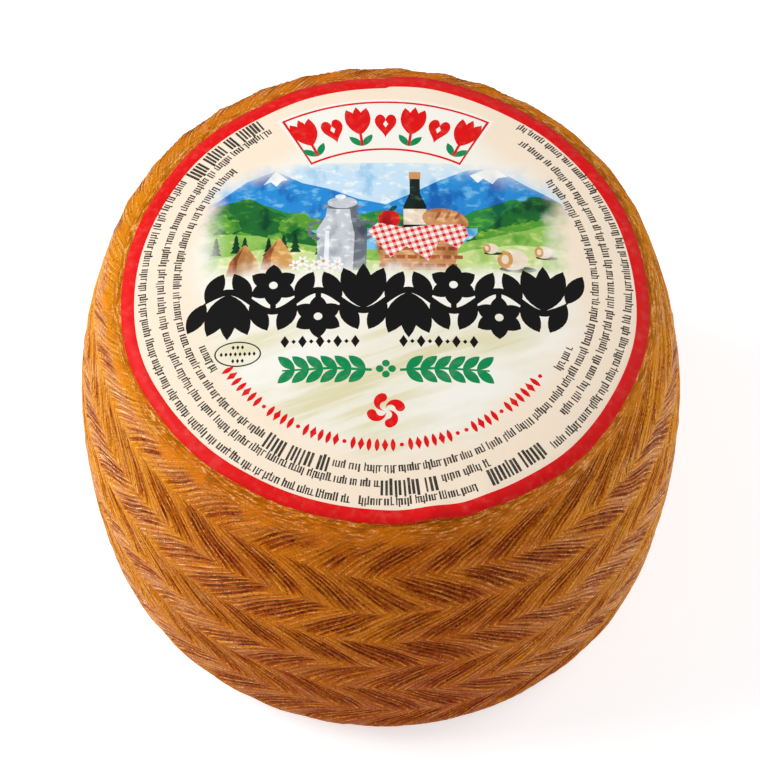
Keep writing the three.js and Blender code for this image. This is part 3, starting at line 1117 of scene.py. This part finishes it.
def crease_light_group(label):
    """Painted highlights and painted shade along creases that run round the rind beside the label's edge.
    """
    outputs = {"Pale": "NodeSocketFloat", "Dark": "NodeSocketFloat"}
    tree, _, ends = shader_group("crease_highlight_and_shade", {}, outputs)
    x, y, z, place = object_place(tree)
    from_label = distance(x - label.shift_x, y - label.shift_y)
    round_label = tree.nodes.new("ShaderNodeCombineXYZ")
    for socket, value in zip(round_label.inputs, (x * 0.35, y * 0.35, from_label * 2.0 - z)):
        feed(socket, value)
    lines = grain(Value(round_label.outputs[0]), 1300, 4.0)
    dots = grain(place, 2200, 2.0)
    near = (from_label + grain(place, 120, 3.0) * (-5 * MM)).span(*CREASED)
    # Painted highlights on the creases' crests, and painted shade in their hollows
    feed(ends["Pale"], lines.span(0.54, 0.62) * dots.span(0.42, 0.6) * near * 0.55)
    feed(ends["Dark"], lines.span(0.58, 0.4) * near * 0.5)
    return tree


def rind_material(colours, label):
    """Amber rind, stained in the hollows, with dark specks; painted highlights on the ridges, painted
    glints, sheen and reflection, lighter flanks, and painted shade at the foot, in the grooves and along
    the creases.
    """
    material, tree, shader = new_material("rind")
    phase, down, _, stroke = attribute(tree, "stroke")
    soak, way, _, _ = attribute(tree, "marks")
    x, y, z, place = object_place(tree)
    streak, strand, thread, hair, thin = [
        grain(stroke, 1.0, *kind) for kind in (STREAK, STRAND, THREAD, HAIR, THIN)]
    broad = grain(place, 45, 3.0)
    cloud = grain(place, 170, 4.0)
    blotch = grain(place, 850, 4.0)
    fine = grain(place, 2600, 3.0)

    # Where on the wheel
    flank = (abs(x) + y * 0.1).span(*FLANK)
    outer = flank.calc("MAXIMUM", y.span(*BACK))
    # Bands whose strokes turn aside from the view, where painted reflection and glints are laid
    aside = (x * way * -1).span(*TURNED_ASIDE)
    below_label = down + y * 7.5 + 0.25 - x * 3.0
    shoulder = (below_label + cloud * 1.6 - 0.8).span(0.45, -0.15)
    on_plait = 1 - shoulder

    # Grooves and ridges of the fibres, frayed, with painted highlights on the ridges and on thin lines
    wave = (phase * FULL_TURN).calc("COSINE")
    ragged = wave + (streak * 3.0 - 1.5) + (fine * 1.4 - 0.7)
    groove = ragged.span(0.55, -0.6)
    ridge_highlight = ragged.span(0.6, 1.1) * thread.span(0.4, 0.6) * on_plait
    thin_dark = thin.span(0.47, 0.34) * on_plait
    thin_highlight = thin.span(0.54, 0.66) * on_plait

    # Stain in the hollows, and its darkest lines in the grooves, partly real stain and partly painted
    # shade
    soak = soak * (flank * 0.05 + 1.08) + strand * 3.8 - 1.9
    soak = soak.span(-0.05, 0.95) * on_plait
    line = groove * (blotch.span(0.42, 0.58) * 0.75 + 0.25) * (soak * 0.9 + 0.25) * on_plait
    line = line.calc("MINIMUM", 1.0) * (abs(way) * 0.6 + 0.4)

    # Painted sheen and glints, real dark specks, and painted highlights and shade along the creases
    painted_sheen = thin_highlight * outer * cloud.span(0.4, 0.62)
    crest_glint = hair.span(0.53, 0.59) * ragged.span(0.5, 1.0) * fine.span(0.42, 0.55)
    speck = fine.span(0.44, 0.3) * (shoulder * -0.4 + 0.7)
    crease_highlight, crease_shade = placed_group(tree, crease_light_group(label))

    base = tint(broad.span(0.36, 0.62), colours.amber, colours.tan)
    base = layered(base, (
        # Painted shade: darker towards the foot, in the stain colour
        (z.span(*SHADED_FOOT) * 0.55, colours.stain),
        # Painted light on the flanks
        (flank * 0.85, colours.flank_light),
        (shoulder * (flank * -0.5 + 0.85), colours.gold),
        # Painted pinkish reflection on the bands turned aside
        (cloud.span(0.3, 0.65) * aside * 0.9, colours.side_reflection),
        (soak * thread.span(0.1, 0.6) * 0.88, colours.stain),
        # Darkest stain in the grooves, partly painted shade
        (line, colours.groove_stain_and_shade),
        (thin_dark * (outer * 0.5 + 0.42), colours.stain),
        # Painted highlights: thin pale lines and the fibre ridges
        (thin_highlight * (flank * 0.5 + 0.22), colours.ridge_highlight),
        (ridge_highlight * (flank * 0.35 + 0.6), colours.ridge_highlight),
        # Painted sheen and painted glints on the ridges
        (painted_sheen * 0.5, colours.pale_highlight),
        (crest_glint * (aside * 0.5 + 0.25 + outer * 0.3), colours.pale_highlight),
        (speck, colours.speck),
        # Painted glints of pale grain
        (fine.span(0.6, 0.72) * 0.45, colours.ridge_highlight),
        # Painted shade and painted highlights along the creases beside the label
        (crease_shade, colours.speck),
        (crease_highlight, colours.pale_highlight),
    ))
    feed(shader.inputs["Base Color"], base)
    feed(shader.inputs["Roughness"], cloud * 0.3 + 0.28)
    shader.inputs["Specular IOR Level"].default_value = 0.03
    relief(shader, fine * 0.3 + (hair * 0.8 + thread), 0.2 * MM)
    return material


# Finish of the label

def paper_field_group(form, colours):
    """Colour of the open paper: cream outside, white inside, with a brushed wash below."""
    tree, _, ends = shader_group("paper_field", {}, {"Colour": "NodeSocketColor"})
    x, y, _, place = object_place(tree)
    x = x - form.shift_x
    y = y - form.shift_y
    ragged = distance(x, y) + grain(place, 70, 4.0) * (12 * MM)
    inner = ragged.span(41.5 * MM, 35.0 * MM)
    brushed = grain(place, 55, 4.0, (0.7, 2.4, 1), BRUSHED_TURN).span(0.36, 0.62)
    bristles = grain(place, 190, 4.0, (0.25, 3.2, 1), BRUSHED_TURN).span(0.38, 0.6)
    wash = brushed * y.span(-2 * MM, -14 * MM) * inner * (bristles * 0.65 + 0.35)
    mottle = grain(place, 900, 3.0).span(0.4, 0.8) * 0.07
    base = tint(inner, colours.cream, colours.white)
    feed(ends["Colour"], layered(base, ((wash, colours.wash), (mottle, colours.wash))))
    return tree


def picture_fade_group(form):
    """How far the landscape has faded into the paper: 1 in its middle, 0 outside it."""
    tree, _, ends = shader_group("picture_fade", {}, {"Mask": "NodeSocketFloat"})
    x, y, _, place = object_place(tree)
    x = abs(x - form.shift_x)
    y = y - form.shift_y
    rough = grain(place, 260, 4.0) * (6 * MM)
    side = (x + rough).span(35.5 * MM, 30 * MM)
    low = (y - rough).span(-3.2 * MM, 1.5 * MM)
    high = (x * 0.22 + (y + rough)).span(33.5 * MM, 27 * MM)
    feed(ends["Mask"], side * low * high)
    return tree


def brushwork_group():
    """Strokes of three shades of one paint."""
    shades = dict.fromkeys(("Dark", "Middle", "Light"), "NodeSocketColor")
    tree, starts, ends = shader_group("brushwork", shades, {"Colour": "NodeSocketColor"})
    dark, middle, light = [Value(starts[shade]) for shade in shades]
    place = object_place(tree)[-1]
    strokes = grain(place, 480, 5.0, (1.0, 1.8, 1))
    dabs = grain(place, 170, 4.0, (1.6, 1.0, 1))
    mixed = tint(strokes.span(0.5, 0.68), middle, light)
    feed(ends["Colour"], tint(dabs.span(0.52, 0.34), mixed, dark))
    return tree


def paper_shader(tree, shader, ink):
    """Finish of coated paper under any ink."""
    fibre = grain(object_place(tree)[-1], 1400, 2.0)
    feed(shader.inputs["Base Color"], ink)
    feed(shader.inputs["Roughness"], fibre * 0.2 + 0.42)
    shader.inputs["Specular IOR Level"].default_value = 0.12
    relief(shader, fibre, 0.02 * MM, 0.5)


def ink_material(name, ink, worn, groups):
    """Flat ink, worn a little so that the paper shows."""
    material, tree, shader = new_material(name)
    mottle = grain(object_place(tree)[-1], 700, 4.0).span(0.45, 0.8) * worn
    paper_shader(tree, shader, tint(mottle, ink, *placed_group(tree, groups["paper"])))
    return material


def paint_material(name, shades, groups):
    """Brushed paint of the picture, which fades into the paper at the picture's edge."""
    material, tree, shader = new_material(name)
    dark, middle, light = [screen(*shade) for shade in shades]
    paint = placed_group(tree, groups["brushwork"], Dark=dark, Middle=middle, Light=light)
    fade = placed_group(tree, groups["fade"])
    paper_shader(tree, shader, tint(*fade, *placed_group(tree, groups["paper"]), *paint))
    return material


def paper_material(name, groups):
    """The bare paper."""
    material, tree, shader = new_material(name)
    paper_shader(tree, shader, *placed_group(tree, groups["paper"]))
    return material


def check_material(name, colours):
    """Red and white checked cloth, drawn as crossing bars."""
    material, tree, shader = new_material(name)
    x, y, _, _ = object_place(tree)
    bars = []
    for turned in (CHECK_TURN, CHECK_TURN + math.pi / 2):
        along = x * math.cos(turned) + y * math.sin(turned)
        wave = (along * (FULL_TURN / CHECK_WIDTH)).calc("SINE")
        bars.append(wave.span(-0.1, 0.35) * 0.55)
    paper_shader(tree, shader, tint(bars[0] + bars[1], colours.white, colours.red))
    return material


# Inks by the share that is worn off, and paints by their dark, middle and light shades
INKS = {"red": 0.05, "black": 0.0, "grey": 0.1, "green": 0.06, "white": 0.04}
PAINTS = {
    "sky": ((150, 196, 230), (196, 222, 240), (236, 242, 244)),
    "far_hill": ((24, 96, 176), (38, 136, 208), (112, 184, 226)),
    "near_hill": ((18, 92, 60), (44, 132, 62), (96, 170, 66)),
    "lake": ((60, 150, 206), (120, 190, 226), (206, 230, 240)),
    "wood": ((14, 66, 40), (30, 104, 46), (70, 142, 50)),
    "wood_light": ((34, 112, 44), (84, 152, 52), (142, 188, 70)),
    "meadow": ((92, 156, 58), (140, 188, 84), (190, 214, 120)),
    "meadow_light": ((160, 196, 100), (200, 218, 144), (232, 236, 190)),
    "fir": ((10, 44, 32), (16, 62, 38), (34, 88, 46)),
    "snow": ((214, 222, 232), (240, 242, 244), (250, 250, 248)),
    "straw": ((170, 116, 60), (206, 150, 84), (232, 190, 126)),
    "brick": ((126, 66, 36), (168, 92, 52), (198, 126, 80)),
    "bale": ((206, 186, 160), (232, 216, 194), (246, 238, 224)),
    "tin": ((150, 156, 164), (196, 200, 206), (236, 238, 240)),
    "tin_dark": ((70, 76, 86), (106, 112, 122), (150, 156, 166)),
    "slate": ((14, 26, 22), (24, 38, 32), (60, 84, 70)),
    "scarf": ((150, 16, 20), (206, 30, 30), (232, 86, 66)),
    "wood_tan": ((166, 104, 58), (204, 144, 92), (230, 184, 136)),
}
INK_ORDER = ["paper", *INKS, "check", *PAINTS]


def label_materials(form, colours):
    """The label's materials in the order of its inks."""
    groups = {"paper": paper_field_group(form, colours), "fade": picture_fade_group(form),
              "brushwork": brushwork_group()}
    made = [paper_material("label_paper", groups)]
    made += [ink_material("ink_" + ink, getattr(colours, ink), worn, groups) for ink, worn in INKS.items()]
    made.append(check_material("cloth_check", colours))
    made += [paint_material("paint_" + paint, shades, groups) for paint, shades in PAINTS.items()]
    return made


# Stage

def area_light(name, place, target, size, power):
    """A soft square light that looks at a point."""
    data = bpy.data.lights.new(name, "AREA")
    data.size = size
    data.energy = power
    lamp = bpy.data.objects.new(name, data)
    lamp.location = place
    lamp.rotation_euler = (Vector(target) - Vector(place)).to_track_quat("-Z", "Y").to_euler()
    bpy.context.scene.collection.objects.link(lamp)


def make_camera(form):
    """The camera at the photograph's angle, looking down along +Y."""
    level, steep = math.cos(form.elevation), math.sin(form.elevation)
    aim = Vector((form.aim_x, 0, WHEEL_HIGH.z / 2)) + form.aim_rise * Vector((0, steep, level))
    data = bpy.data.cameras.new("photo_camera")
    data.lens = form.lens
    data.sensor_width = SENSOR_WIDTH_MM
    data.clip_start = 10 * MM
    camera = bpy.data.objects.new("photo_camera", data)
    camera.location = aim - form.distance * Vector((0, level, -steep))
    camera.rotation_euler = (math.pi / 2 - form.elevation, 0, 0)
    bpy.context.scene.collection.objects.link(camera)
    bpy.context.scene.camera = camera


def make_floor(form):
    """A plain pale floor."""
    corners = box_shape(form.floor_size, form.floor_size)
    floor = mesh_object("floor", [(x, y, 0) for x, y in corners], [(0, 1, 2, 3)])
    material, tree, shader = new_material("floor_paper")
    clouds = grain(object_place(tree)[-1], 3, 2.0).span(0.3, 0.7)
    feed(shader.inputs["Base Color"], tint(clouds, form.floor_colour, form.floor_clouds))
    shader.inputs["Roughness"].default_value = 0.9
    shader.inputs["Emission Color"].default_value = WHITE
    shader.inputs["Emission Strength"].default_value = form.floor_glow
    floor.data.materials.append(material)


def make_world(strength):
    """Even white light from all round."""
    world = bpy.data.worlds.new("studio")
    world.use_nodes = True
    background = world.node_tree.nodes["Background"]
    background.inputs["Color"].default_value = WHITE
    background.inputs["Strength"].default_value = strength
    bpy.context.scene.world = world


class CHEESE_OT_make_stage(Operator):
    """Make the floor, the lights and the camera."""

    bl_idname = "cheese.make_stage"
    bl_label = "Stage"

    def execute(self, context):
        form = context.scene.cheese_stage
        context.scene.view_settings.view_transform = "Standard"
        make_camera(form)
        make_floor(form)
        make_world(form.room_light)
        for name, (place, size, power) in LIGHTS.items():
            area_light(name, place, LIGHT_TARGET, size, power)
        return {"FINISHED"}


class CHEESE_OT_make_rind(Operator):
    """Make the rind of the wheel, with the marks of the plaited mould."""

    bl_idname = "cheese.make_rind"
    bl_label = "Rind"

    def execute(self, context):
        scene = context.scene
        rind = RindMesh(scene.cheese_wheel, scene.cheese_plait, scene.cheese_label)
        ends = [(0, 0, scene.cheese_wheel.height), (0, 0, 0)]
        piece = mesh_object("rind", np.concatenate([rind.points.reshape(-1, 3), ends]), rind.faces())
        marks = np.stack([rind.stain, rind.way, np.zeros_like(rind.way)], axis=-1).reshape(-1, 3)
        write_attribute(piece.data, "marks", "POINT", np.concatenate([marks, np.zeros((2, 3))]))
        write_attribute(piece.data, "stroke", "CORNER", rind.stroke_corners())
        piece.data.materials.append(rind_material(scene.cheese_rind, scene.cheese_label))
        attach(piece, "root")
        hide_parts("cheese_wheel")
        return {"FINISHED"}


class CHEESE_OT_make_label(Operator):
    """Make the printed paper label on the crown."""

    bl_idname = "cheese.make_label"
    bl_label = "Label"

    def execute(self, context):
        scene = context.scene
        outline = Outline(scene.cheese_wheel, scene.cheese_plait.top_level)
        piece = build_label(scene.cheese_label, outline, INK_ORDER)
        for material in label_materials(scene.cheese_label, scene.cheese_inks):
            piece.data.materials.append(material)
        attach(piece, "root")
        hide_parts("label")
        return {"FINISHED"}


class CHEESE_PT_sidebar(Panel):
    """Lists the pieces of the cheese wheel."""

    bl_label = "Cheese Wheel"
    bl_idname = "CHEESE_PT_sidebar"
    bl_space_type = "VIEW_3D"
    bl_region_type = "UI"
    bl_category = "Cheese"

    def draw(self, context):
        for operator in OPERATORS:
            self.layout.operator(operator.bl_idname)


GROUPS = {
    "cheese_wheel": WheelForm,
    "cheese_plait": PlaitForm,
    "cheese_rind": RindColours,
    "cheese_label": LabelForm,
    "cheese_inks": LabelColours,
    "cheese_stage": StageForm,
}
OPERATORS = (CHEESE_OT_make_stage, CHEESE_OT_make_rind, CHEESE_OT_make_label)


def register():
    """Make the classes and their places in the scene known."""
    for group in GROUPS.values():
        bpy.utils.register_class(group)
    for name, group in GROUPS.items():
        setattr(bpy.types.Scene, name, PointerProperty(type=group))
    for operator in OPERATORS:
        bpy.utils.register_class(operator)
    bpy.utils.register_class(CHEESE_PT_sidebar)


def unregister():
    """Take back what register made known, in the other order."""
    bpy.utils.unregister_class(CHEESE_PT_sidebar)
    for operator in reversed(OPERATORS):
        bpy.utils.unregister_class(operator)
    for name in GROUPS:
        delattr(bpy.types.Scene, name)
    for group in reversed(list(GROUPS.values())):
        bpy.utils.unregister_class(group)


def main():
    """Make the stage and both pieces."""
    register()
    bpy.ops.cheese.make_stage()
    bpy.ops.cheese.make_rind()
    bpy.ops.cheese.make_label()


if __name__ == "__main__":
    main()
